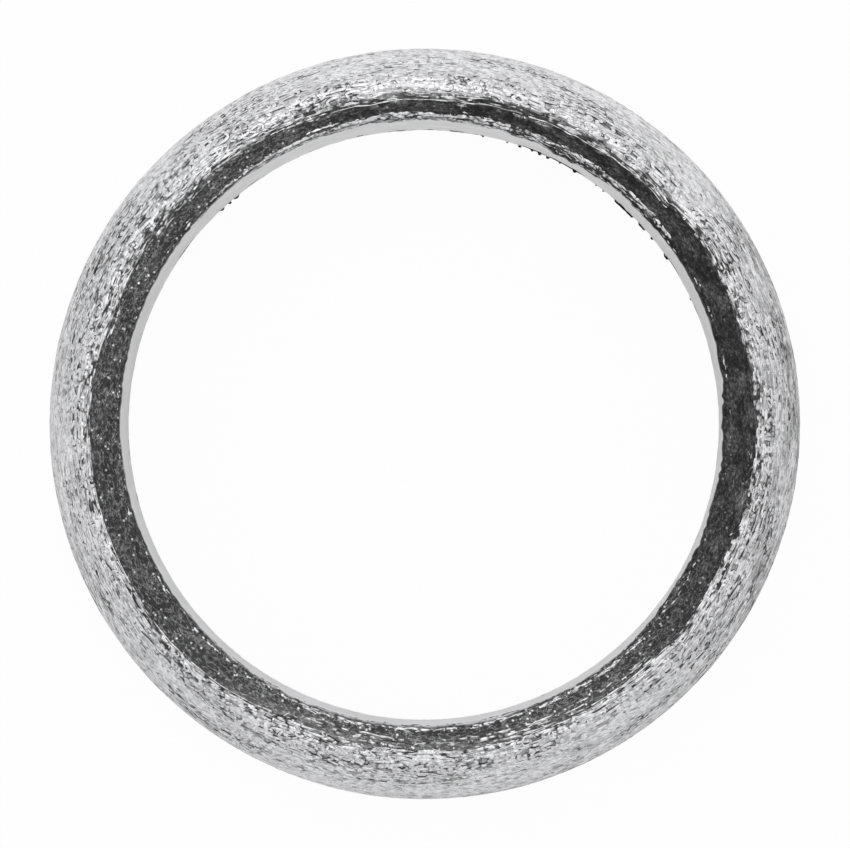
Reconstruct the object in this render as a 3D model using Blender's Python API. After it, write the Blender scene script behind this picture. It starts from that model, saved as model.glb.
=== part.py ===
"""Exhaust ring gasket with a ball seat, pressed from knitted wire and graphite.

The ring lies on its flat back face. The origin is on the axis of the bore, in
the plane of the back face, and +Z runs up the bore to the narrow nose.
All sizes are in metres.
"""

import math
import random

import bmesh
import bpy

# Sizes of the pressed ring
BORE_DIAMETER = 0.0540
HEIGHT = 0.0160
NOSE_FACE_WIDTH = 0.00195
NOSE_FILLET_RADIUS = 0.0020
NOSE_LIP_RADIUS = 0.0006
LAND_HEIGHT = 0.0007
BACK_EDGE_RADIUS = 0.0005
BACK_BORE_CHAMFER = 0.0004

# Knitted wire that shows in the ball seat
LOOP_WIDTH = 0.0024
COURSE_HEIGHT = 0.00175
LOOP_RISE = 0.0009
KNIT_DEPTH = 0.00016
PLACE_UNEVENNESS = 0.2
DEPTH_UNEVENNESS = 0.4
KNIT_SEED = 11

# Facets of the small rounded edges, and the angle from which an edge is shaded sharp
FILLET_STEPS = 4
LIP_STEPS = 3
BACK_EDGE_STEPS = 2
SHARP_DEGREES = 35


def arc(centre, radius, first, last, steps):
    """Points on an arc in the (radius, height) plane, both ends included."""
    points = []
    for step in range(steps + 1):
        angle = first + (last - first) * step / steps
        points.append((centre[0] + radius * math.cos(angle), centre[1] + radius * math.sin(angle)))
    return points


class Seat:
    """The ball seat: a sphere about a point on the bore's axis.

    It rises straight out of the land at the back and runs into the nose
    fillet, so the nose face, the fillet and the land fix its radius.
    """

    centre_height = BACK_EDGE_RADIUS + LAND_HEIGHT
    fillet_centre = (
        BORE_DIAMETER / 2 + NOSE_LIP_RADIUS + NOSE_FACE_WIDTH,
        HEIGHT - NOSE_FILLET_RADIUS,
    )
    fillet_rise = fillet_centre[1] - centre_height
    radius = NOSE_FILLET_RADIUS + math.hypot(fillet_centre[0], fillet_rise)
    top_angle = math.atan2(fillet_rise, fillet_centre[0])
    courses = max(1, round(radius * top_angle / COURSE_HEIGHT))
    rows = 2 * courses
    row_angle = top_angle / rows
    loops = round(math.tau * radius / LOOP_WIDTH)
    columns = 2 * loops
    column_angle = math.tau / columns


def section():
    """The ring's closed section as (radius, height), from the bore round the back and up the seat."""
    bore_radius = BORE_DIAMETER / 2
    back_edge_centre = (Seat.radius - BACK_EDGE_RADIUS, BACK_EDGE_RADIUS)
    lip_centre = (bore_radius + NOSE_LIP_RADIUS, HEIGHT - NOSE_LIP_RADIUS)
    quarter = math.pi / 2

    outline = [(bore_radius, BACK_BORE_CHAMFER), (bore_radius + BACK_BORE_CHAMFER, 0)]
    outline += arc(back_edge_centre, BACK_EDGE_RADIUS, -quarter, 0, BACK_EDGE_STEPS)
    outline += arc((0, Seat.centre_height), Seat.radius, 0, Seat.top_angle, Seat.rows)
    outline += arc(Seat.fillet_centre, NOSE_FILLET_RADIUS, Seat.top_angle, quarter, FILLET_STEPS)[1:]
    outline += arc(lip_centre, NOSE_LIP_RADIUS, quarter, math.pi, LIP_STEPS)
    return outline


def turned(outline, columns):
    """The outline spun once round the bore's axis, as a closed bmesh."""
    shape = bmesh.new()
    corners = [shape.verts.new((radius, 0, height)) for radius, height in outline]
    edges = [shape.edges.new(pair) for pair in zip(corners, corners[1:] + corners[:1])]
    bmesh.ops.spin(
        shape,
        geom=corners + edges,
        cent=(0, 0, 0),
        axis=(0, 0, 1),
        angle=math.tau,
        steps=columns,
        use_merge=True,
    )
    bmesh.ops.recalc_face_normals(shape, faces=shape.faces)
    return shape


def press_knit(shape):
    """Presses rows of wire loops into the seat.

    Every other row of points is a groove between two courses of loops. Every
    other column is moved up, so that each course runs in chevrons. Both fade
    out at the land and at the fillet, and no crest stands above the sphere.
    """
    dice = random.Random(KNIT_SEED)
    uneven = [[dice.uniform(-1, 1) for _ in range(Seat.columns)] for _ in range(Seat.rows + 1)]
    half_rise = LOOP_RISE / Seat.radius / 2
    tolerance = KNIT_DEPTH / 10
    for point in shape.verts:
        x, y, z = point.co
        out = math.hypot(x, y)
        rise = z - Seat.centre_height
        on_seat = abs(math.hypot(out, rise) - Seat.radius) < tolerance
        row = round(math.atan2(rise, out) / Seat.row_angle)
        if not on_seat or not 0 < row < Seat.rows:
            continue
        turn = math.atan2(y, x) % math.tau
        column = round(turn / Seat.column_angle) % Seat.columns
        fade = min(1, row / 2, (Seat.rows - row) / 2)
        roll = uneven[row][column]
        chevron = half_rise if column % 2 else -half_rise
        angle = row * Seat.row_angle + fade * chevron + PLACE_UNEVENNESS * roll * Seat.row_angle
        depth = KNIT_DEPTH * fade * (row % 2) * (1 + DEPTH_UNEVENNESS * roll)
        reach = Seat.radius - depth
        point.co = (
            reach * math.cos(angle) * math.cos(turn),
            reach * math.cos(angle) * math.sin(turn),
            Seat.centre_height + reach * math.sin(angle),
        )


def pressed_steel_and_graphite():
    """Burnished stainless wire with graphite in its gaps."""
    material = bpy.data.materials.new("pressed_wire_and_graphite")
    material.use_nodes = True
    surface = material.node_tree.nodes["Principled BSDF"]
    surface.inputs["Base Color"].default_value = (0.45, 0.45, 0.46, 1)
    surface.inputs["Metallic"].default_value = 0.85
    surface.inputs["Roughness"].default_value = 0.42
    return material


def gasket_ring():
    """The whole gasket: one solid ring."""
    shape = turned(section(), Seat.columns)
    press_knit(shape)
    mesh = bpy.data.meshes.new("gasket_ring")
    shape.to_mesh(mesh)
    shape.free()
    mesh.materials.append(pressed_steel_and_graphite())
    mesh.shade_smooth()
    mesh.set_sharp_from_angle(angle=math.radians(SHARP_DEGREES))
    ring = bpy.data.objects.new("gasket_ring", mesh)
    bpy.context.scene.collection.objects.link(ring)
    return ring


for old in list(bpy.data.objects):
    bpy.data.objects.remove(old)
gasket_ring()
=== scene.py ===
"""Looks of an exhaust ring gasket: knitted wire and graphite pressed into one ring.

Everything is in metres. The ring lies on its back face with its bore up +Z, and
its narrow nose is towards the camera. A place on the ring is given by two
numbers: the turn about the bore, and the distance walked along its section.
"""

import math

import bpy
import mathutils
import numpy as np
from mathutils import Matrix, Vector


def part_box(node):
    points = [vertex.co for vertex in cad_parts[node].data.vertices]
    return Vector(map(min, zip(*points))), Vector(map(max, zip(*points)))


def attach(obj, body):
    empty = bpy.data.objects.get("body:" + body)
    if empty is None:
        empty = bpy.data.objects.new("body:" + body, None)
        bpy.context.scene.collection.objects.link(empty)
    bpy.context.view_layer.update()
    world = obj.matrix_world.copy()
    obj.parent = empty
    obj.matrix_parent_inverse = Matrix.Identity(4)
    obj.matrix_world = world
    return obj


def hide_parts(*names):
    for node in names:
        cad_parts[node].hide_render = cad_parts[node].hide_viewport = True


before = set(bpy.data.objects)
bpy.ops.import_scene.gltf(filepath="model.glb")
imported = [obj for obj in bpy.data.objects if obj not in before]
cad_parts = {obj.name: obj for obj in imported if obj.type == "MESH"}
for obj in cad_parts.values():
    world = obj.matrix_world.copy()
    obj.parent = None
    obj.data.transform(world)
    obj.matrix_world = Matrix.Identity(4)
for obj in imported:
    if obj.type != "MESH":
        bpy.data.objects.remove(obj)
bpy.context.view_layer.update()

# The body is wire mesh and graphite that a die has pressed into one hard ring.
# It is one closed skin: the section of the ring, carried once round the bore.
# Graphite stands bare on the nose and lies a little below the wires elsewhere.
ring_low, ring_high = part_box("gasket_ring")
HEIGHT = ring_high[2] - ring_low[2]
SEAT_RADIUS = (ring_high[0] - ring_low[0]) / 2
BORE_RADIUS = 0.0270
LIP_RADIUS = 0.0006
NOSE_WIDTH = 0.00195
FILLET_RADIUS = 0.0020
LAND_HEIGHT = 0.0007
BACK_EDGE_RADIUS = 0.0005
BORE_EDGE_RADIUS = 0.0004
BORE_FOOT = 0.0040

SEAT_ANGLE = math.acos((BORE_RADIUS + LIP_RADIUS + NOSE_WIDTH) / (SEAT_RADIUS - FILLET_RADIUS))
LEGS = [
    # name, length, radius of its bend, steps of the grid
    ("bore_foot", BORE_FOOT, math.inf, 12),
    ("bore", HEIGHT - LIP_RADIUS - BORE_EDGE_RADIUS - BORE_FOOT, math.inf, 6),
    ("lip", LIP_RADIUS * math.pi / 2, LIP_RADIUS, 7),
    ("nose", NOSE_WIDTH, math.inf, 17),
    ("fillet", FILLET_RADIUS * (math.pi / 2 - SEAT_ANGLE), FILLET_RADIUS, 17),
    ("seat", SEAT_RADIUS * SEAT_ANGLE, SEAT_RADIUS, 14),
    ("land", LAND_HEIGHT, math.inf, 1),
    ("back_edge", BACK_EDGE_RADIUS * math.pi / 2, BACK_EDGE_RADIUS, 3),
    ("back", SEAT_RADIUS - BACK_EDGE_RADIUS - BORE_RADIUS - BORE_EDGE_RADIUS, math.inf, 3),
    ("bore_edge", BORE_EDGE_RADIUS * math.pi / 2, BORE_EDGE_RADIUS, 3),
]
LEG_LENGTH = np.array([length for _, length, _, _ in LEGS])
LEG_BEND = np.array([1 / radius for _, _, radius, _ in LEGS])
LEG_START = np.concatenate([[0], np.cumsum(LEG_LENGTH)[:-1]])
LEG_ANGLE = math.pi - np.concatenate([[0], np.cumsum(LEG_LENGTH * LEG_BEND)[:-1]])
AT = {name: start for (name, _, _, _), start in zip(LEGS, LEG_START)}
SECTION_LENGTH = LEG_LENGTH.sum()


def leg_steps(gone, leg):
    """The way out and up from a leg's start.

    It is the chord, which is the distance times sin x / x of half the bend, at the
    heading half way along it.
    """
    half = gone * LEG_BEND[leg] / 2
    chord = gone * np.sinc(half / math.pi)
    return chord * np.sin(LEG_ANGLE[leg] - half), -chord * np.cos(LEG_ANGLE[leg] - half)


step_r, step_z = leg_steps(LEG_LENGTH, np.arange(len(LEGS)))
LEG_R = BORE_RADIUS + np.concatenate([[0], np.cumsum(step_r)[:-1]])
LEG_Z = BORE_EDGE_RADIUS + np.concatenate([[0], np.cumsum(step_z)[:-1]])


def on_ring(turn, along, height):
    """Points and outward normals: a place on the section, moved out along its normal and turned about Z."""
    along = along % SECTION_LENGTH
    leg = np.searchsorted(LEG_START, along, side="right") - 1
    gone = along - LEG_START[leg]
    over, up = leg_steps(gone, leg)
    angle = LEG_ANGLE[leg] - gone * LEG_BEND[leg]
    radius = LEG_R[leg] + over + height * np.cos(angle)
    z = LEG_Z[leg] + up + height * np.sin(angle)
    points = np.stack([radius * np.cos(turn), radius * np.sin(turn), z], axis=-1)
    normals = np.stack([np.cos(angle) * np.cos(turn), np.cos(angle) * np.sin(turn), np.sin(angle)], axis=-1)
    return points, normals


def ease(x, start, end):
    """0 before start, 1 after end, and a smoothstep 3x^2 - 2x^3 between."""
    x = np.clip((x - start) / (end - start), 0, 1)
    return x * x * (3 - 2 * x)


def lumps(turn, along, size, seed, stretch=1.0):
    """Smooth lumps from -1 to 1 of about that size, drawn out round the ring by the stretch.

    They are random corners on a grid that closes round the ring, eased between. The
    seed picks the corners.
    """
    columns = max(3, round(math.tau * SEAT_RADIUS / size / stretch))
    rows = math.ceil(SECTION_LENGTH / size)
    corners = np.random.default_rng(seed).uniform(-1, 1, (rows, columns))
    across = (turn / math.tau) % 1 * columns
    down = (along % SECTION_LENGTH) / SECTION_LENGTH * rows
    column, row = np.floor(across).astype(int), np.floor(down).astype(int)
    right, below = ease(across - column, 0, 1), ease(down - row, 0, 1)
    column, row = column % columns, row % rows
    beyond, under = (column + 1) % columns, (row + 1) % rows
    top = corners[row, column] * (1 - right) + corners[row, beyond] * right
    low = corners[under, column] * (1 - right) + corners[under, beyond] * right
    return top * (1 - below) + low * below


def lumps_round(turn, size, seed):
    """Lumps that change with the turn alone."""
    return lumps(turn, turn * 0, size, seed)


def by_turn(turn, *stops):
    """A value that runs straight between stops of (degrees, value), and from the last on to the first."""
    degrees, values = zip(*stops)
    return np.interp(turn, np.radians(degrees), values, period=math.tau)


# The edge of the graphite on the nose, as degrees and radius in millimetres
EDGE_MM = [
    (0, 29.50), (18, 29.25), (33, 29.52), (42, 28.90), (68, 28.74), (104, 28.72), (120, 29.02),
    (145, 29.30), (160, 29.17), (172, 29.72), (197, 29.80), (217, 29.86), (232, 29.62), (247, 28.80),
    (262, 28.85), (280, 29.08), (300, 29.14), (320, 29.50), (332, 29.28),
]
# How ragged that edge is, and how many millimetres its islands reach
EDGE_LOOSE = [
    (0, 1), (150, 1), (170, 0.2), (235, 0.2), (250, 1), (300, 1), (310, 0.3), (325, 0.3), (345, 1),
]
ISLANDS_MM = [
    (0, 0.35), (25, 0.40), (40, 0.60), (104, 0.55), (125, 0.50), (155, 0.50), (172, 0.20),
    (182, 0.10), (235, 0.12), (245, 0.45), (290, 0.40), (303, 0.12), (322, 0.12), (340, 0.40),
]
# How wide the strip is in which thin wires lie half in graphite
BURIED_MM = [
    (15, 0.1), (30, 0.5), (42, 1.0), (60, 0.85), (85, 0.6), (104, 0.75),
    (118, 0.3), (150, 0.1), (240, 0.1), (255, 0.35), (290, 0.35), (310, 0.1),
]
EDGE_WANDER = 0.00006
EDGE_FRAY = 0.00005
EDGE_FADE = (-0.00004, 0.00010)


def wire_edge(turn):
    """Distance along the section at which the bare graphite of the nose gives way to wire."""
    radius = by_turn(turn, *EDGE_MM) / 1000
    ragged = EDGE_WANDER * lumps_round(turn, 0.0031, 5) + EDGE_FRAY * lumps_round(turn, 0.0009, 6)
    return AT["nose"] + radius - BORE_RADIUS - LIP_RADIUS + ragged * by_turn(turn, *EDGE_LOOSE)


def broken(turn):
    """How far the edge of the graphite is broken into islands."""
    return by_turn(turn, *ISLANDS_MM) / 1000


def half_buried(turn, along):
    """1 in a strip past the edge where thin wires lie in graphite, and 0 elsewhere."""
    wide_mm = by_turn(turn, *BURIED_MM)
    past_mm = (along - wire_edge(turn)) * 1000
    return ease(past_mm, -0.4, 0.0) * (1 - ease(past_mm, 0.6 * wide_mm, 1.3 * wide_mm))


def bared(turn, along):
    """Where wires come through the graphite, 0 to 1: the seat, up to the edge and its islands."""
    islands = 0.8 * lumps(turn, along, 0.00034, 25, 5.0) + 0.6 * lumps(turn, along, 0.00024, 26, 2.5)
    lines = 0.8 * lumps(turn, along, 0.00017, 27, 7.0) + 0.5 * lumps(turn, along, 0.00013, 28, 4.0)
    free = ease(along - wire_edge(turn) + broken(turn) * islands, *EDGE_FADE)
    return free * (1 - half_buried(turn, along) * (1 - ease(lines, -0.3, 0.3)))


# How often graphite covers the wires beside the nose, most of all at the far side, and how far past it
FLOOD_OFTEN = [
    (0, 0.20), (25, 0.30), (45, 0.50), (100, 0.50), (115, 0.35), (180, 0.05), (240, 0.20), (300, 0.15),
]
FLOOD_FADE = (0.0003, 0.0011)
# How often the die has rubbed the wires flat
RUBBED_OFTEN = [
    (0, 0.1), (30, 0.2), (60, 0.2), (95, 0.5), (110, 0.1), (130, 0.2), (150, -0.1), (175, 0.1),
    (190, 0.1), (210, -0.2), (245, 0.0), (260, 0.6), (290, 0.6), (305, 0.4), (320, -0.2), (345, 0.0),
]
# Where the seat is rubbed more, from the land, and where it is still rubbed less, from its own start
RUBBED_FROM = (-0.0100, -0.0050)
UNRUBBED_UNTIL = (-0.001, 0.002)
# How much wire shows through the graphite of the nose: least at the right, most at the near side
WORN = [
    (0, 0.12), (60, 0.05), (95, 0.15), (112, 0.45), (125, 0.65),
    (150, 0.65), (210, 0.7), (240, 1.1), (305, 0.85), (330, 0.35),
]
BRUSH_WANDER = 0.0005


def graphite_flood(turn, along):
    """How far graphite was squeezed up over the wires, 0 to 1: long lumps, most of them near the nose."""
    past = along - wire_edge(turn)
    near = by_turn(turn, *FLOOD_OFTEN) * (1 - ease(past, *FLOOD_FADE))
    spots = 0.45 * lumps(turn, along, 0.0005, 21, 2.6) + 0.65 * lumps(turn, along, 0.0002, 22, 2.6)
    return ease(spots + near, 0.25, 0.85)


def burnished(turn, along):
    """How flat the die has rubbed the wires, 0 to 1.

    It is lumps that make patches, more towards the widest part and less at the nose.
    """
    outward = 0.9 * ease(along - AT["land"], *RUBBED_FROM)
    outward = outward - 0.9 * (1 - ease(along - AT["seat"], *UNRUBBED_UNTIL))
    patches = lumps(turn, along, 0.0030, 90, 1.6) + 0.4 * lumps(turn, along, 0.0013, 91)
    return ease(patches + by_turn(turn, *RUBBED_OFTEN) + outward, -0.4, 0.6)


def brushed(turn, along):
    """Long wavy streaks that the die has drawn over the wires, -1 to 1."""
    way = along + BRUSH_WANDER * lumps(turn, along, 0.0035, 95)
    return 0.7 * lumps(turn, way, 0.0009, 96, 3.2) + 0.5 * lumps(turn, way, 0.00045, 97, 3.6)


BARE_SPOTS = [
    # turn in degrees, radius in millimetres, size in millimetres
    (132.4, 28.5, 0.9),
    (152.8, 27.9, 0.9),
    (175.2, 28.2, 1.1),
    (192.9, 29.0, 0.7),
    (224.2, 28.8, 0.7),
    (246.5, 29.0, 0.9),
]


def bare_spots(turn, along):
    """1 in the middle of each of the larger spots where the nose is bare, and exp(-x^2) away from it."""
    radius_mm = (along - AT["nose"] + BORE_RADIUS + LIP_RADIUS) * 1000
    spots = 0
    for degrees, middle_mm, size_mm in BARE_SPOTS:
        across_mm = (turn % math.tau - math.radians(degrees)) * middle_mm
        away = np.hypot(across_mm, radius_mm - middle_mm) / (size_mm / 2)
        spots = spots + np.exp(-(away**2))
    return spots


# How many millimetres of graphite stand in over the bore at the lip, most of it at the right
LIP_FLASH_MM = [
    (0, 0.40), (8, 0.32), (14, 0.06), (22, 0.02), (45, 0.10), (60, 0.40),
    (85, 0), (292, 0), (308, -0.08), (318, 0.18), (328, 0.36), (345, 0.30),
]
LIP_FRAY = 0.00005
BORE_FOOT_MARKS = [
    # turn in degrees, how often the wall is bare graphite, how often graphite stands over the edge
    (5, -1, -1),
    (15, 0, -1),
    (30, 0.1, -0.3),
    (40, 0.3, 0.3),
    (46, 0.5, 0.8),
    (62, 0.5, 0.85),
    (68, 0.2, 0.6),
    (85, 0.2, -0.8),
    (95, 0, -1),
    (115, -0.3, -1),
    (128, 0.3, 0.2),
    (141, 0.3, 0.2),
    (150, -0.8, -1),
    (195, 0.1, -1),
    (215, -1, -1),
    (320, -0.2, -1),
    (345, -0.2, -1),
]
FOOT_IN = 0.00002
FOOT_LEAN = 0.00013
FOOT_LEAN_TURN = math.radians(20)
BACK_FLASH = 0.00018
# Distances up the bore's wall over which its lean, the flash and the spots come and go
LEAN_FADE = (0.0002, 0.0060)
FLASH_FADE = (0.0001, 0.0005)
GAPS_RISE = (0.0, 0.0004)
GAPS_FADE = (0.0009, 0.0026)
FLASH_BEHIND = 0.0003
FLASH_UNDER_LIP = 0.0009


def lip_flash(turn):
    """How far ragged graphite stands in over the bore at the lip."""
    ragged = 0.75 + 0.32 * lumps_round(turn, 0.0024, 41) + 0.20 * lumps_round(turn, 0.0006, 42)
    loose = LIP_FRAY * lumps_round(turn, 0.0024, 43) + LIP_FRAY * lumps_round(turn, 0.0006, 44)
    return by_turn(turn, *LIP_FLASH_MM) / 1000 * ragged + loose


def back_gaps(turn, along):
    """How near the bore's wall comes to bare graphite at its foot: highest in a row of ragged spots."""
    often = by_turn(turn, *((degrees, gaps) for degrees, gaps, _ in BORE_FOOT_MARKS))
    spots = 0.75 * lumps(turn, along, 0.0011, 51, 1.8) + 0.45 * lumps(turn, along, 0.0005, 52, 1.5)
    low = ease(along, *GAPS_RISE) * (1 - ease(along, *GAPS_FADE))
    return np.clip(spots + 0.8 * often + 0.25, 0, 1.2) * low


def back_flash(turn):
    """How far graphite stands in over the bore's back edge, 0 to 1: dashes, and a line at the far side."""
    often = by_turn(turn, *((degrees, flash) for degrees, _, flash in BORE_FOOT_MARKS))
    dashes = 0.8 * lumps_round(turn, 0.0014, 51) + 0.9 * lumps_round(turn, 0.0005, 52) + often
    line = by_turn(turn, (76, 0), (82, 0.30), (100, 0.30), (108, 0)) + 0.1 * lumps_round(turn, 0.0009, 53)
    return np.maximum(ease(dashes, 0.60, 0.85), line)


def foot_lean(turn, along):
    """How far the bore's wall stands in at its foot.

    It leans by a cosine of the turn, because the foot is a little off the axis of the
    rest, and graphite stands over its edge.
    """
    at_foot = 1 - ease(along, *LEAN_FADE) + ease(along, AT["bore_edge"], SECTION_LENGTH)
    edge = 1 - ease(along, *FLASH_FADE) + ease(along, AT["bore_edge"] + FLASH_BEHIND, SECTION_LENGTH)
    lean = (FOOT_IN + FOOT_LEAN * np.cos(turn - FOOT_LEAN_TURN)) * at_foot
    return lean + BACK_FLASH * back_flash(turn) * edge


def overhang(turn, along):
    """How far the flash lifts the skin on the lip and the bore just under it."""
    under_lip = ease(along, AT["lip"] - FLASH_UNDER_LIP, AT["lip"])
    return under_lip * (1 - ease(along, AT["lip"], AT["nose"])) * lip_flash(turn)


SUNK = 0.00010
FINE_GRAIN = 0.000012
BROAD_GRAIN = 0.000015


def body_height(turn, along):
    """Relief of the body: flush on the nose, bore and back, and sunk below the wires on the seat."""
    before_back = 1 - ease(along, AT["land"], AT["back_edge"])
    sunk = bared(turn, along) * before_back
    grain = FINE_GRAIN * lumps(turn, along, 0.0003, 31) + BROAD_GRAIN * lumps(turn, along, 0.0011, 32)
    grain = grain * before_back
    wires = -SUNK * sunk * (1 - 0.65 * graphite_flood(turn, along)) * (1 - 0.6 * burnished(turn, along))
    return grain + wires + overhang(turn, along) + foot_lean(turn, along)


def piece(name, points, faces):
    """A smooth object at the origin with those points and faces."""
    mesh = bpy.data.meshes.new(name)
    mesh.vertices.add(len(points))
    mesh.vertices.foreach_set("co", points.astype(np.float32).ravel())
    mesh.loops.add(faces.size)
    mesh.loops.foreach_set("vertex_index", faces.astype(np.int32).ravel())
    mesh.polygons.add(len(faces))
    mesh.polygons.foreach_set("loop_start", np.arange(0, faces.size, faces.shape[1], dtype=np.int32))
    mesh.update(calc_edges=True)
    mesh.shade_smooth()
    made = bpy.data.objects.new(name, mesh)
    bpy.context.scene.collection.objects.link(made)
    return made


def mark(made, name, values):
    """Stores one number at each point of a piece, for its material to read."""
    stored = made.data.attributes.new(name, "FLOAT", "POINT")
    stored.data.foreach_set("value", values.astype(np.float32).ravel())


STREAK = 2.6


def mark_streaks(made, turn, along):
    """Stores a place whose way round the ring is shortened, so that noise read there is drawn out."""
    short = SEAT_RADIUS / STREAK
    place = np.stack([short * np.cos(turn), short * np.sin(turn), along], axis=-1)
    stored = made.data.attributes.new("streaks", "FLOAT_VECTOR", "POINT")
    stored.data.foreach_set("vector", place.astype(np.float32).ravel())


BODY_COLUMNS = 1040
column_turns = np.arange(BODY_COLUMNS) / BODY_COLUMNS * math.tau
row_ways = [AT[name] + length * np.arange(steps) / steps for name, length, _, steps in LEGS]
body_turn, body_way = np.meshgrid(column_turns, np.concatenate(row_ways))
body_points, _ = on_ring(body_turn, body_way, body_height(body_turn, body_way))
number = np.arange(body_turn.size).reshape(body_turn.shape)
right, below = np.roll(number, -1, axis=1), np.roll(number, -1, axis=0)
body_faces = np.stack([number, right, np.roll(right, -1, axis=0), below], axis=-1).reshape(-1, 4)
body = piece("pressed_body", body_points.reshape(-1, 3), body_faces)

# Where the graphite of the nose begins, from the lip on: at the right it hangs over the bore
GRAPHITE_START = [
    (60, -0.0004), (80, 0.00022), (125, 0.00022), (145, 0.00002),
    (215, 0.00006), (235, 0.00022), (285, 0.00022), (310, -0.0004),
]
GRAPHITE_START_FRAY = 0.00012
GRAPHITE_START_FADE = 0.0003
# How much metal shines through the thin film at the outer edge of the nose
THIN_FILM = [(225, 0), (245, 0.11), (270, 0.09), (300, 0.04), (318, 0)]
# Distances past the edge of the graphite over which that film and the filled gaps come and go
THIN_FILM_FROM = (-0.0013, -0.0001)
FILLED_UNTIL = (0.0002, 0.0012)
# Where the flash at the bore's foot is black: round its edge, and a little way up the wall
FOOT_BLACK_FROM = (0.0001, 0.0004)
FOOT_BLACK_UNTIL = (0.0003, 0.0009)

body_past = body_way - wire_edge(body_turn)
body_bared = bared(body_turn, body_way)
graphite_start = AT["lip"] + by_turn(body_turn, *GRAPHITE_START)
graphite_start = graphite_start + GRAPHITE_START_FRAY * lumps_round(body_turn, 0.0011, 45)
on_nose = ease(body_way - graphite_start, 0.0, GRAPHITE_START_FADE) * (1 - body_bared)
under_wire = body_bared * (1 - ease(body_way, AT["land"], AT["back_edge"]))
at_edge = 1 - ease(body_way, *FOOT_BLACK_UNTIL)
at_edge = at_edge + ease(body_way - AT["bore_edge"], *FOOT_BLACK_FROM)
body_foot_black = np.maximum(back_gaps(body_turn, body_way), np.minimum(2.4 * back_flash(body_turn), 1) * at_edge)
filled = np.maximum(graphite_flood(body_turn, body_way), 1 - ease(body_past, *FILLED_UNTIL))
body_flat, body_streaks = burnished(body_turn, body_way), brushed(body_turn, body_way)
between = np.clip(0.34 + 0.56 * filled - 0.22 * body_flat + 0.12 * body_streaks, 0.05, 1)
thin_film = by_turn(body_turn, *THIN_FILM) * ease(body_past, *THIN_FILM_FROM)
thin_film = thin_film * (1 + 0.7 * lumps(body_turn, body_way, 0.00025, 46, 1.5))
mark(body, "graphite", np.clip(on_nose * (1 - thin_film) + under_wire * between, 0, 1))
mark(body, "worn", (by_turn(body_turn, *WORN) + 1.6 * bare_spots(body_turn, body_way)) * (1 - under_wire))
mark(body, "foot_black", body_foot_black)
mark(body, "under_wire", under_wire)
mark_streaks(body, body_turn, body_way)


def new_material(name):
    """A material, its nodes, its links and the surface that they feed."""
    made = bpy.data.materials.new(name)
    made.use_nodes = True
    tree = made.node_tree
    return made, tree.nodes, tree.links, tree.nodes["Principled BSDF"]


material, nodes, links, surface = new_material("pressed_body")


def node(kind, **settings):
    """One shader node with its settings, in the material that is being made."""
    made = nodes.new(kind)
    for key, value in settings.items():
        setattr(made, key, value)
    return made


def marked(name, output="Fac"):
    """What was marked on the piece under that name."""
    return node("ShaderNodeAttribute", attribute_name=name).outputs[output]


def noise(scale, detail, place, roughness=0.5):
    """Noise of a number of lumps to the metre at a place on the piece."""
    made = node("ShaderNodeTexNoise")
    made.inputs["Scale"].default_value = scale
    made.inputs["Detail"].default_value = detail
    made.inputs["Roughness"].default_value = roughness
    links.new(place, made.inputs["Vector"])
    return made.outputs["Fac"]


def ramp(value, *stops):
    """A grey, one part in a hundred bluer, that follows a value by stops of (position, grey)."""
    made = node("ShaderNodeValToRGB")
    while len(made.color_ramp.elements) < len(stops):
        made.color_ramp.elements.new(0.5)
    for element, (position, grey) in zip(made.color_ramp.elements, stops):
        element.position = position
        element.color = (grey, grey, grey * 1.01, 1)
    links.new(value, made.inputs["Fac"])
    return made.outputs["Color"]


def mixed(share, first, second, blend="MIX"):
    """Two colours mixed by a share; either may be a grey."""
    made = node("ShaderNodeMix", data_type="RGBA", blend_type=blend)
    for value, name in ((share, "Factor"), (first, "A"), (second, "B")):
        socket = made.inputs[name]
        if isinstance(value, float):
            socket.default_value = value if name == "Factor" else (value, value, value, 1)
        else:
            links.new(value, socket)
    return made.outputs["Result"]


def worked_out(operation, *values):
    """One sum, product or the like of values, each of which may be a number."""
    made = node("ShaderNodeMath", operation=operation)
    for value, socket in zip(values, made.inputs):
        if isinstance(value, float):
            socket.default_value = value
        else:
            links.new(value, socket)
    return made.outputs["Value"]


def bumped(height, strength, depth):
    """Bends the surface's normals by a height, as if it were that deep."""
    made = node("ShaderNodeBump")
    made.inputs["Strength"].default_value = strength
    made.inputs["Distance"].default_value = depth
    links.new(height, made.inputs["Height"])
    links.new(made.outputs["Normal"], surface.inputs["Normal"])


BODY_ROUGHNESS = 0.42
BODY_METAL = 0.85
BODY_SHINE = 0.5
FOOT_BLACK_GREY = 0.012
SPECKS_PER_METRE = 1500
GRAIN_BUMP = 0.6
GRAIN_DEPTH = 0.00004

place = node("ShaderNodeTexCoord").outputs["Object"]
streaks = marked("streaks", "Vector")
# Graphite: smooth and near black, or worn to grey with fibres and bright specks of wire
fine_grain = noise(5500, 5, streaks, 0.70)
broad_grain = noise(900, 5, streaks, 0.6)
grain = mixed(0.5, fine_grain, broad_grain)
smooth_dark = ramp(grain, (0.38, 0.007), (0.49, 0.020), (0.56, 0.065), (0.63, 0.16))
fibres = ramp(noise(1800, 4, streaks, 0.6), (0.472, 0.0), (0.50, 0.30), (0.528, 0.0))
worn_dark = ramp(fine_grain, (0.36, 0.040), (0.50, 0.066), (0.59, 0.12), (0.69, 0.60))
worn_dark = mixed(1.0, worn_dark, fibres, "ADD")
wear = worked_out("MULTIPLY", ramp(noise(550, 4, streaks), (0.38, 0.74), (0.62, 1.0)), marked("worn"))
cells = node("ShaderNodeTexVoronoi")
cells.inputs["Scale"].default_value = SPECKS_PER_METRE
links.new(place, cells.inputs["Vector"])
specks = ramp(cells.outputs["Distance"], (0.09, 1.0), (0.20, 0.0))
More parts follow.
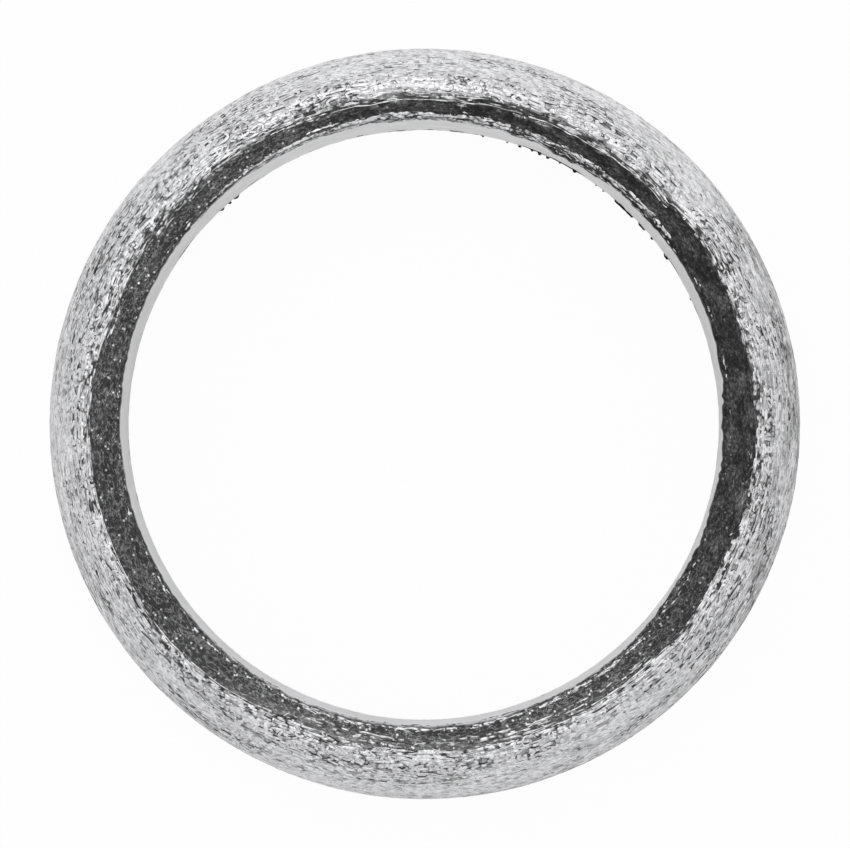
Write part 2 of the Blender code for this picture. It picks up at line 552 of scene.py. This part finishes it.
graphite_tone = mixed(1.0, mixed(wear, smooth_dark, worn_dark), mixed(wear, 0.0, specks), "ADD")
# Metal: plain on the bore's wall and the back, and rubbed in streaks under the wires
wall_tone = ramp(noise(350, 4, place), (0.3, 0.77), (0.7, 0.90))
rubbed_tone = ramp(noise(2500, 4, streaks, 0.65), (0.36, 0.30), (0.62, 0.90))
metal_tone = mixed(marked("under_wire"), wall_tone, rubbed_tone)
# Ragged matt black spots at the foot of the bore, and a black line there at the far side
ragged_foot_black = mixed(1.0, marked("foot_black"), ramp(noise(2600, 3, streaks), (0.3, 0.0), (0.7, 0.5)), "SUBTRACT")
foot_blackened = ramp(ragged_foot_black, (0.42, 0.0), (0.50, 1.0))
body_tone = mixed(foot_blackened, mixed(marked("graphite"), metal_tone, graphite_tone), FOOT_BLACK_GREY)
links.new(body_tone, surface.inputs["Base Color"])
links.new(mixed(foot_blackened, BODY_METAL, 0.0), surface.inputs["Metallic"])
links.new(mixed(foot_blackened, BODY_SHINE, 0.0), surface.inputs["Specular IOR Level"])
surface.inputs["Roughness"].default_value = BODY_ROUGHNESS
bumped(grain, GRAIN_BUMP, GRAIN_DEPTH)
body.data.materials.append(material)
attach(body, "root")
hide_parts("gasket_ring")

# The wire mesh is knitted from stainless wire of a quarter of a millimetre and rolled up
# in several layers, which the die has crushed flat and into one another. Each piece
# here is one layer, with the knit's own loops, bent and folded back at both edges.
WIRE_FOOT = 0.00058
WIRE_FLAT = 0.00036
WIRE_THICKNESS = 0.00008
# How far across the wire each corner of its section counts, for the painted shade along the edges of its
# flat
ACROSS = [-1.0, -0.6, 0.6, 1.0]
CORNERS = len(ACROSS)
MID_RADIUS = 0.0325


def strands(name, turn, along, height, plump, smear, roll, seam, edge_shade_strength=1.0):
    """Crushed wires: a flat top at the given height, and two sloping shoulders down to a wider foot.

    The arrays are [strand, sample]. Plump scales the width, smear is the graphite
    left on the flat, with painted light and shade by turn in it on the seat's layers,
    roll is the flat's slope to one side, seam is the graphite at the foot, and the last
    is how strongly painted shade darkens the flat's edges.
    """
    middle, up = on_ring(turn, along, height)
    heading = np.gradient(middle, axis=1)
    side = np.cross(up, heading)
    side /= np.linalg.norm(side, axis=-1, keepdims=True)
    side = side * plump[..., None] / 2
    foot = middle - up * WIRE_THICKNESS
    edge = (side + up * (roll * plump / 2)[..., None]) * WIRE_FLAT
    spread = side * WIRE_FOOT
    points = np.stack([foot - spread, middle - edge, middle + edge, foot + spread], axis=2)
    number = np.arange(turn.size * CORNERS).reshape(*turn.shape, CORNERS)
    near, far = number[:, :-1], number[:, 1:]
    after = np.roll(np.arange(CORNERS), -1)
    sides = np.stack([near, near[..., after], far[..., after], far], axis=-1).reshape(-1, 4)
    ends = np.concatenate([number[:, 0, ::-1], number[:, -1, :]])
    made = piece(name, points.reshape(-1, 3), np.concatenate([sides, ends]))
    seam = seam + 0 * smear
    mark(made, "graphite", np.stack([seam, smear, smear, seam], axis=2))
    mark(made, "across", (edge_shade_strength + 0 * smear)[..., None] * ACROSS)
    mark_streaks(made, np.repeat(turn, CORNERS), np.repeat(along, CORNERS))
    return made


def each_apart(turn):
    """Turns with each strand moved on by a radian, so that lumps read there differ from one to the next."""
    return turn + np.arange(len(turn))[:, None]


def folded(share):
    """What passes 0 or 1 is turned back, as a triangle wave does."""
    return 1 - np.abs(share % 2 - 1)


EDGE_CURL = 0.04
CROWDED = 1.3
SLIP = 0.0010
FINE_SLIP = 0.00040
BEND = 0.0008
FINE_BEND = 0.00020


def knitted(courses, loops, steps, rise, lean, climb, seed, start, end):
    """Centre lines of one layer of plain knit between two edges.

    They are [course, sample] arrays of turn, along and over. Along a course t runs
    2 pi a loop. The wire goes forward evenly plus lean sin 2t, and up and down as
    rise cos t. Each course climbs that many courses in a turn. Lumps slip and bend
    the layer. It is folded back at its edges, and crowded towards the first one.
    Over is -cos 2t: 1 at the legs of a loop, which cross over the next wire, and -1
    at its ends.
    """
    t = np.linspace(0, math.tau * loops, loops * steps + 1)[None, :]
    share = t / (math.tau * loops)
    turn = math.tau * share + lean * np.sin(2 * t) / MID_RADIUS
    down = (np.arange(courses)[:, None] + 0.5 + climb * share) / courses * (2 if climb else 1)
    first, reach = start(turn), end - start(0.0)
    near = first + folded(down) * reach
    slip = SLIP * lumps(turn, near, 0.0047, seed) + FINE_SLIP * lumps(turn, near, 0.0012, seed + 1)
    bend = BEND * lumps(turn, near, 0.0060, seed + 2) + FINE_BEND * lumps(turn, near, 0.0011, seed + 3)
    turn = turn + slip / MID_RADIUS
    down = folded(folded(down) + (rise * np.cos(t) + bend) / reach)
    down = (np.sqrt(down**2 + EDGE_CURL**2) - EDGE_CURL) ** CROWDED
    first = start(turn)
    return turn, first + down * (end - first), -np.cos(2 * t) + 0 * turn


LAYER_WAVE = 0.000036
WIRE_WAVE = 0.000035
CROSSING_LIFT = 0.000010
PRESSED_DOWN = 0.00001
UNDER_GRAPHITE = 0.00006


def pressed(turn, along, over, seed):
    """Height of a layer's wires: each lies high or low by its own lumps, and the die stops what is high."""
    high = LAYER_WAVE * lumps(turn, along, 0.0018, seed, 1.6)
    high = high + WIRE_WAVE * lumps(each_apart(turn), along, 0.0012, seed + 1, 2.8)
    high = high + CROSSING_LIFT * over
    high = high * (1 - 0.6 * burnished(turn, along)) - PRESSED_DOWN
    high = np.minimum(high, 0.4 * high)
    return high - UNDER_GRAPHITE * (1 - bared(turn, along))


WIRE_ROUGHNESS = 0.36
# The grey of the graphite in the seams and of the painted shade on the wires
SEAM_AND_SHADE_GREY = 0.06
DENT_BUMP = 0.8
DENT_DEPTH = 0.00014

material, nodes, links, surface = new_material("crushed_wire")
streaks = marked("streaks", "Vector")
# Dark with graphite in the seams, and painted shade along the edges of the flats and in creases that come
# in patches
seams = ramp(marked("graphite"), (0.10, 0.0), (0.55, 1.0))
outward = worked_out("ABSOLUTE", marked("across"))
# Painted shade: broken dark lines along the edges of each flat
edge_shade_lines = ramp(outward, (0.34, 0.0), (0.58, 0.36))
edge_shade_lines = mixed(ramp(noise(1500, 3, streaks), (0.38, 0.28), (0.60, 1.0)), 0.0, edge_shade_lines)
folds = noise(850, 2, streaks)
# Painted shade: a dark line down the middle of each crease
crease_shade = ramp(folds, (0.462, 0.0), (0.490, 0.75), (0.508, 0.75), (0.536, 0.0))
creased = ramp(mixed(0.5, noise(700, 3, streaks), noise(200, 2, streaks)), (0.47, 0.0), (0.54, 1.0))
seams_and_shade = mixed(1.0, seams, edge_shade_lines, "ADD")
seams_and_shade = mixed(1.0, seams_and_shade, mixed(creased, 0.0, crease_shade), "ADD")
# Bright metal elsewhere, a little greyer in fine grain, and a painted highlight beside each crease, so that
# the metal is greyer away from the folds
clean = ramp(noise(4200, 4, streaks, 0.6), (0.34, 0.58), (0.58, 1.0))
ridge_highlight = ramp(folds, (0.36, 0.86), (0.42, 1.0), (0.58, 1.0), (0.64, 0.86))
clean = mixed(1.0, clean, ridge_highlight, "MULTIPLY")
links.new(mixed(seams_and_shade, clean, SEAM_AND_SHADE_GREY), surface.inputs["Base Color"])
surface.inputs["Metallic"].default_value = 1.0
surface.inputs["Roughness"].default_value = WIRE_ROUGHNESS
bumped(mixed(0.6, noise(3600, 3, streaks), noise(900, 4, streaks, 0.6)), DENT_BUMP, DENT_DEPTH)

# Painted light and shade on the seat's wires by turn: their grey is darkened where the seat is to look
# shaded and lightened where it is to look lit. It is darkened more near the widest part, in place of the
# shaded paper that it mirrors there.
SEAT_PAINTED_LIGHT_AND_SHADE = [
    # turn in degrees, painted shade on the wires of the seat (below 0, painted light), how much more
    # painted shade near the widest part
    (0, 0.04, 0.11),
    (30, -0.04, 0.12),
    (60, -0.15, 0.04),
    (90, -0.16, -0.02),
    (120, -0.10, -0.03),
    (150, -0.12, 0.01),
    (180, -0.18, 0.17),
    (210, -0.12, 0.15),
    (240, -0.20, 0.06),
    (270, -0.18, 0.14),
    (300, -0.10, 0.12),
    (330, 0.02, 0.06),
]
LAYERS = [
    # courses, loops, steps to a loop, rise, lean, climb, depth
    (14, 82, 16, 0.00050, 0.00045, 0, 0.0),
    (15, 76, 16, 0.00042, 0.00050, 22, 0.000014),
    (15, 78, 16, 0.00034, 0.00050, -31, 0.000026),
    (15, 70, 16, 0.00030, 0.00055, 5, 0.000036),
]
TUCKED_IN = 0.00065
TUCKED_UNDER = 0.0002
THINNEST = 0.20
THINNED_PER_METRE = 300
# Distances past the edge of the graphite over which the wires change
THINNED_UNTIL = (0.0003, 0.0013)
NEAR_NOSE_UNTIL = (0.0002, 0.0024)
GRIMY_UNTIL = (-0.0003, 0.0006)
# Depths at which a wire gathers graphite
FILMED_DEPTH = (0.00001, 0.00007)
# Where the painted light and shade of the seat come in, from the start of its fillet, and where more
# painted shade comes to it, from the land
PAINTED_FROM = (0.0001, 0.0011)
RIM_PAINTED_SHADE_FROM = (-0.0135, -0.0090)


def mesh_edge(turn):
    """Where the layers of mesh are folded back, a little way under the graphite of the nose."""
    return wire_edge(turn) - TUCKED_IN


def painted_light_and_shade(turn, along):
    """Painted light and shade on the wires by turn, past the fillet, and the painted shade that comes to it
    near the widest part.
    """
    on_seat = by_turn(turn, *((degrees, seat) for degrees, seat, _ in SEAT_PAINTED_LIGHT_AND_SHADE))
    at_rim = by_turn(turn, *((degrees, rim) for degrees, _, rim in SEAT_PAINTED_LIGHT_AND_SHADE))
    painted = on_seat * ease(along - AT["fillet"], *PAINTED_FROM)
    return painted + at_rim * ease(along - AT["land"], *RIM_PAINTED_SHADE_FROM)


for layer, (courses, loops, steps, rise, lean, climb, depth) in enumerate(LAYERS, 1):
    seed = 100 * layer
    end = AT["back_edge"] + TUCKED_UNDER
    turn, along, over = knitted(courses, loops, steps, rise, lean, climb, seed, mesh_edge, end)
    height = pressed(turn, along, over, seed + 4) - depth
    apart = each_apart(turn)
    flat = burnished(turn, along)
    past = along - wire_edge(turn)
    near_nose = 1 - ease(past, *NEAR_NOSE_UNTIL)
    thin = THINNED_PER_METRE * broken(turn) * (1 - ease(past, *THINNED_UNTIL))
    thin = thin + 0.45 * half_buried(turn, along)
    plump = 0.84 + 0.26 * lumps(apart, along, 0.0009, seed + 9, 2.5) + 0.25 * flat - 0.26 * near_nose - thin
    plump = np.maximum(plump, THINNEST)
    roll = (0.28 + 0.25 * near_nose) * lumps(apart, along, 0.0014, seed + 6, 2.0) * (1 - 0.6 * flat)
    film = 0.24 * ease(-height, *FILMED_DEPTH) + 0.12 * lumps(apart, along, 0.0018, seed + 8)
    crumbs = lumps(apart, along, 0.0004, seed + 7) + 0.7 * lumps(apart, along, 0.0002, seed + 11)
    grime = near_nose * (0.19 * crumbs - 0.03) + 0.18 * brushed(turn, along) * (1 - 0.6 * near_nose)
    grime = grime + 0.26 * (1 - ease(past, *GRIMY_UNTIL))
    # The smear holds the wire's graphite, and with it the painted light and shade by turn from the seat's
    # table.
    smear = 0.04 + film * (1 - 0.3 * near_nose) + painted_light_and_shade(turn, along) + grime
    smear = np.clip(smear + 0.24 * graphite_flood(turn, along), 0, 1)
    # Rubbed-flat wires have less graphite at the foot and less painted shade along the edges of their
    # flats.
    seam, edge_shade_strength = 0.85 - 0.4 * flat, 1 - 0.4 * flat
    wires = strands(f"wire_mesh_{layer}", turn, along, height, plump, smear, roll, seam, edge_shade_strength)
    wires.data.materials.append(material)
    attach(wires, "root")
    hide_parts("gasket_ring")

# The mesh ends at the nose in a selvedge: a few wires that run along the edge of the
# graphite, over and under the ends of the loops. One of them is firm in places, as a
# broken bright line, and those on the graphite's side of it show at some turns only.
SELVEDGE_SAMPLES = 900
FIRM_WAY = 0.00004
SELVEDGE_WAYS = [-0.00062, -0.00042, -0.00022, FIRM_WAY, 0.00026, 0.00044, 0.00066, 0.00090]
SELVEDGE_WANDER = 0.00013
SELVEDGE_FRAY = 0.00007
SELVEDGE_SUNK = 0.00006
SELVEDGE_RISE = 0.00007
FIRM_RISE = 0.00003
LOOSER_PER_METRE = 1000
FIRM = [
    (36, 0), (42, 1), (104, 1), (110, 0), (172, 0), (182, 1),
    (235, 1), (245, 0), (296, 0), (303, 1), (316, 1), (324, 0),
]
SHOWS_INSIDE = [
    (20, 0.3), (40, 0), (108, 0), (125, 1), (165, 1),
    (176, 0), (236, 0), (248, 1), (312, 1), (328, 0.3),
]

way = np.array(SELVEDGE_WAYS)[:, None]
turn = np.linspace(0, math.tau, SELVEDGE_SAMPLES + 1)[None, :] + way * 0
apart = each_apart(turn)
wander = SELVEDGE_WANDER * lumps_round(apart, 0.0040, 611) + SELVEDGE_FRAY * lumps_round(apart, 0.0014, 612)
along = wire_edge(turn) + way + wander * (0.5 + LOOSER_PER_METRE * np.abs(way))
firm = by_turn(turn, *FIRM) * (way == FIRM_WAY)
over = ease(lumps_round(apart, 0.0032, 621) + 0.4 * lumps_round(apart, 0.0011, 622) + 0.25, -0.3, 0.5)
over = np.maximum(over, firm) * np.where(way < 0, by_turn(turn, *SHOWS_INSIDE), 1)
clear = firm * ease(lumps_round(turn, 0.0016, 627) + 0.5 * lumps_round(turn, 0.0005, 628) + 0.45, 0.0, 0.3)
shown = over * np.maximum(bared(turn, along), 0.9 * (over > 0.9))
height = -SELVEDGE_SUNK + SELVEDGE_RISE * shown + FIRM_RISE * clear
crumbs = lumps(apart, along, 0.0008, 623) + 0.8 * lumps(apart, along, 0.0003, 626)
smear = np.clip(0.18 + 0.26 * crumbs + 0.36 * graphite_flood(turn, along), 0, 1) * (1 - 0.4 * firm)
roll = 0.20 * lumps(apart, along, 0.0016, 624)
plump = (0.42 + 0.22 * lumps(apart, along, 0.0006, 625)) * (0.4 + 0.6 * over) * (1 - 0.45 * firm)
selvedge = strands("selvedge_wires", turn, along, height, plump, smear, roll, 1.0)
selvedge.data.materials.append(material)
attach(selvedge, "root")
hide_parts("gasket_ring")

# On the nose the same mesh lies just under the graphite. Bits of its loops show
# where the graphite is worn or has broken out, and in a few larger bare spots.
NOSE_COURSES, NOSE_LOOPS, NOSE_STEPS = 9, 56, 12
NOSE_RISE = 0.0002
NOSE_LEAN = 0.0002
NOSE_CLIMB = 43
NOSE_SEED = 700
NOSE_MESH_IN = 0.0004
NOSE_MESH_END = AT["fillet"] - 0.0001
NOSE_SUNK = 0.00005
NOSE_SHOWN = 0.00006


def nose_mesh_edge(turn):
    """Where the mesh of the nose begins, a little past the lip all the way round."""
    return AT["lip"] + NOSE_MESH_IN + turn * 0


turn, along, _ = knitted(
    NOSE_COURSES, NOSE_LOOPS, NOSE_STEPS, NOSE_RISE, NOSE_LEAN, NOSE_CLIMB, NOSE_SEED,
    nose_mesh_edge, NOSE_MESH_END,
)
apart = each_apart(turn)
showing = 0.6 * lumps(turn, along, 0.0011, 711) + 0.7 * lumps(apart, along, 0.00035, 712)
showing = showing + 0.38 * by_turn(turn, *WORN)
bare = ease(showing + 1.1 * bare_spots(turn, along), 0.55, 1.3)
height = -NOSE_SUNK + NOSE_SHOWN * bare
smear = np.clip(0.38 + 0.30 * lumps(apart, along, 0.0004, 713), 0, 1)
nose_wires = strands("nose_wires", turn, along, height, 0.08 + 0.26 * bare, smear, 0 * turn, 1.0)
nose_wires.data.materials.append(material)
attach(nose_wires, "root")
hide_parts("gasket_ring")

# Round the lip of the bore the last courses are drawn out straight by the die.
# They run side by side as broken bright lines, most of all at the far side.
RIM_SAMPLES = 1300
RIM_WIRES = [
    # place on the lip's bend, how much of it is bare, plumpness
    (0.05, 0.40, 0.50),
    (0.30, 0.25, 0.40),
    (0.55, -0.35, 0.26),
    (0.80, -0.35, 0.26),
    (1.05, 0.65, 0.56),
    (1.25, 0.60, 0.56),
    (1.48, 0.00, 0.34),
    (1.85, -1.20, 0.26),
]
RIM_WANDER = 0.00009
RIM_FRAY = 0.00008
RIM_FINE_FRAY = 0.00005
RIM_SUNK = 0.00006
RIM_SHOWN = 0.00009
RIM_BARE = [
    (0, -0.9), (30, -0.6), (46, 0.65), (60, 1.1), (100, 1.0), (122, 0.45), (135, -0.2),
    (150, -0.8), (200, -0.6), (240, 0.05), (255, 0.35), (305, 0.15), (320, -0.2), (345, -0.9),
]
RIM_DASHED = [(215, 0.0), (235, 0.9), (330, 0.9), (350, 0.0)]
RIM_WIDTH = [(0, 0.5), (40, 0.8), (55, 1.0), (105, 1.0), (130, 0.6), (200, 0.5), (250, 0.7), (320, 0.6)]

place_on_bend, often, width = (np.array(column)[:, None] for column in zip(*RIM_WIRES))
rim_way = AT["lip"] + LIP_RADIUS * place_on_bend
turn = np.linspace(0, math.tau, RIM_SAMPLES + 1)[None, :] + rim_way * 0
apart = each_apart(turn)
along = rim_way + RIM_WANDER * lumps_round(apart, 0.0040, 811) + RIM_FRAY * lumps_round(apart, 0.0009, 812)
along = along + RIM_FINE_FRAY * lumps_round(apart, 0.00035, 813)
showing = 0.6 * lumps_round(apart, 0.0030, 821) + 0.6 * lumps_round(apart, 0.0007, 822)
showing = showing + by_turn(turn, *RIM_BARE) + often + 0.5 * lumps_round(apart, 0.0003, 829)
bare = ease(showing + by_turn(turn, *RIM_DASHED) * lumps_round(apart, 0.00032, 828), -0.1, 1.1)
smear = 0.18 + 0.28 * lumps(apart, along, 0.0007, 823) + 0.34 * lumps(apart, along, 0.00022, 826)
width = width * (1 + 0.4 * lumps_round(apart, 0.0006, 824) + 0.4 * lumps_round(apart, 0.00028, 827))
width = width * by_turn(turn, *RIM_WIDTH)
height = overhang(turn, along) - RIM_SUNK + RIM_SHOWN * bare
roll = 0.3 * lumps_round(apart, 0.0011, 825)
plump = 0.05 + width * bare
rim_wires = strands("rim_wires", turn, along, height, plump, np.clip(smear, 0, 1), roll, 1.0)
rim_wires.data.materials.append(material)
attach(rim_wires, "root")
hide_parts("gasket_ring")

# The ring lies on a sheet of white paper, which glows white to the camera. What its metal
# mirrors of the paper is brighter towards the far side, by painted light in its glow, and
# darker close to the ring, where a painted shadow takes that glow away and the paper's own
# lit white, with the ring's real shade on it, shows.
FLOOR_SIZE = 4.0
PAPER_GREY = 0.8
PAPER_ROUGHNESS = 0.9
PAPER_GLOW = 0.96
FAR_SIDE_START, FAR_SIDE_END = 0.008, 0.036
NEAR_SIDE_TONE, FAR_SIDE_TONE = 0.40, 1.0
PAINTED_SHADOW_START, PAINTED_SHADOW_END = 0.036, 0.048
PAINTED_SHADOW_DEPTH = 0.34


def mapped(value, start, end, first, last):
    """A value carried evenly from one range into another, and held at the ends of it."""
    made = node("ShaderNodeMapRange")
    made.inputs["From Min"].default_value = start
    made.inputs["From Max"].default_value = end
    made.inputs["To Min"].default_value = first
    made.inputs["To Max"].default_value = last
    links.new(value, made.inputs["Value"])
    return made.outputs["Result"]


floor_mesh = bpy.data.meshes.new("floor")
floor_corners = [(x * FLOOR_SIZE, y * FLOOR_SIZE, 0) for x, y in ((-1, -1), (1, -1), (1, 1), (-1, 1))]
floor_mesh.from_pydata(floor_corners, [], [(0, 1, 2, 3)])
floor = bpy.data.objects.new("floor", floor_mesh)
bpy.context.scene.collection.objects.link(floor)
material, nodes, links, surface = new_material("white_paper")
surface.inputs["Base Color"].default_value = (PAPER_GREY, PAPER_GREY, PAPER_GREY, 1)
surface.inputs["Roughness"].default_value = PAPER_ROUGHNESS
surface.inputs["Specular IOR Level"].default_value = 0
glow = node("ShaderNodeEmission")
glow.inputs["Color"].default_value = (1, 1, 1, 1)
glow.inputs["Strength"].default_value = 1.0
rays = node("ShaderNodeLightPath")
place = node("ShaderNodeTexCoord").outputs["Object"]
split = node("ShaderNodeSeparateXYZ")
links.new(place, split.inputs[0])
# Painted light: the glow that glossy rays see grows towards the far side
painted_far_light = mapped(split.outputs["Y"], FAR_SIDE_START, FAR_SIDE_END, NEAR_SIDE_TONE, FAR_SIDE_TONE)
from_axis = node("ShaderNodeVectorMath", operation="LENGTH")
links.new(place, from_axis.inputs[0])
# Painted shadow: that glow is taken away close to the ring
painted_shadow = mapped(from_axis.outputs["Value"], PAINTED_SHADOW_START, PAINTED_SHADOW_END, PAINTED_SHADOW_DEPTH, 0.0)
mirrored = worked_out("MULTIPLY", rays.outputs["Is Glossy Ray"], worked_out("SUBTRACT", painted_far_light, painted_shadow))
seen = worked_out("MAXIMUM", rays.outputs["Is Camera Ray"], mirrored)
blend = node("ShaderNodeMixShader")
links.new(worked_out("MULTIPLY", seen, PAPER_GLOW), blend.inputs["Fac"])
links.new(surface.outputs["BSDF"], blend.inputs[1])
links.new(glow.outputs["Emission"], blend.inputs[2])
links.new(blend.outputs["Shader"], nodes["Material Output"].inputs["Surface"])
floor_mesh.materials.append(material)

# A white tent stands round the table. Its sky is brightest in a ring part way up and
# at the far side, and one large soft light shines in from the far left.
SKY_TONES = [(0.0, 0.54), (0.35, 0.74), (0.72, 1.02), (0.92, 1.0), (1.0, 0.55)]
BRIGHT_SIDE = (0.0, 0.92, 0.40)
DIM_SIDE_TONE, BRIGHT_SIDE_TONE = 0.88, 1.12
LAMP_SIZE = 1.8
LAMP_POWER = 3.5
LAMP_PLACE = (-0.5, 1.1, 1.3)

world = bpy.data.worlds.new("tent")
bpy.context.scene.world = world
world.use_nodes = True
nodes, links = world.node_tree.nodes, world.node_tree.links
sky = nodes["Background"]
sky.inputs["Color"].default_value = (1, 1, 1, 1)
direction = node("ShaderNodeTexCoord").outputs["Generated"]
toward = node("ShaderNodeVectorMath", operation="DOT_PRODUCT")
links.new(direction, toward.inputs[0])
toward.inputs[1].default_value = BRIGHT_SIDE
side = mapped(toward.outputs["Value"], -1, 1, DIM_SIDE_TONE, BRIGHT_SIDE_TONE)
upward = node("ShaderNodeSeparateXYZ")
links.new(direction, upward.inputs[0])
level = worked_out("MULTIPLY", ramp(upward.outputs["Z"], *SKY_TONES), side)
rays = node("ShaderNodeLightPath")
backdrop = node("ShaderNodeMix")
links.new(rays.outputs["Is Camera Ray"], backdrop.inputs["Factor"])
links.new(level, backdrop.inputs["A"])
backdrop.inputs["B"].default_value = 1.0
links.new(backdrop.outputs["Result"], sky.inputs["Strength"])

lamp = bpy.data.lights.new("tent_light", "AREA")
lamp.size = LAMP_SIZE
lamp.energy = LAMP_POWER
stand = bpy.data.objects.new("tent_light", lamp)
stand.location = LAMP_PLACE
stand.rotation_mode = "QUATERNION"
stand.rotation_quaternion = (-stand.location).to_track_quat("-Z", "Y")
bpy.context.scene.collection.objects.link(stand)

# The camera stands 0.6 m above the ring, a little to the right of its axis and
# nearer, so it sees some of the bore's wall at the left and at the far side.
CAMERA_DISTANCE = 0.600
CAMERA_ASIDE = 0.0043
CAMERA_NEARER = 0.0060
RING_RADIUS_PX = 374.7
IMAGE_WIDTH_PX = 850
SENSOR_MM = 36.0
CLIP_START, CLIP_END = 0.01, 50

lens = bpy.data.cameras.new("photo_camera")
lens.sensor_width = SENSOR_MM
widest_away = CAMERA_DISTANCE - BACK_EDGE_RADIUS - LAND_HEIGHT
lens.lens = RING_RADIUS_PX / IMAGE_WIDTH_PX * SENSOR_MM * widest_away / SEAT_RADIUS
lens.clip_start = CLIP_START
lens.clip_end = CLIP_END
camera = bpy.data.objects.new("photo_camera", lens)
camera.location = (CAMERA_ASIDE, -CAMERA_NEARER, CAMERA_DISTANCE)
backward = camera.location.normalized()
rightward = mathutils.Vector((0, 1, 0)).cross(backward).normalized()
upward = backward.cross(rightward)
camera.rotation_mode = "QUATERNION"
camera.rotation_quaternion = mathutils.Matrix((rightward, upward, backward)).transposed().to_quaternion()
bpy.context.scene.collection.objects.link(camera)
bpy.context.scene.camera = camera
bpy.context.scene.view_settings.view_transform = "Standard"
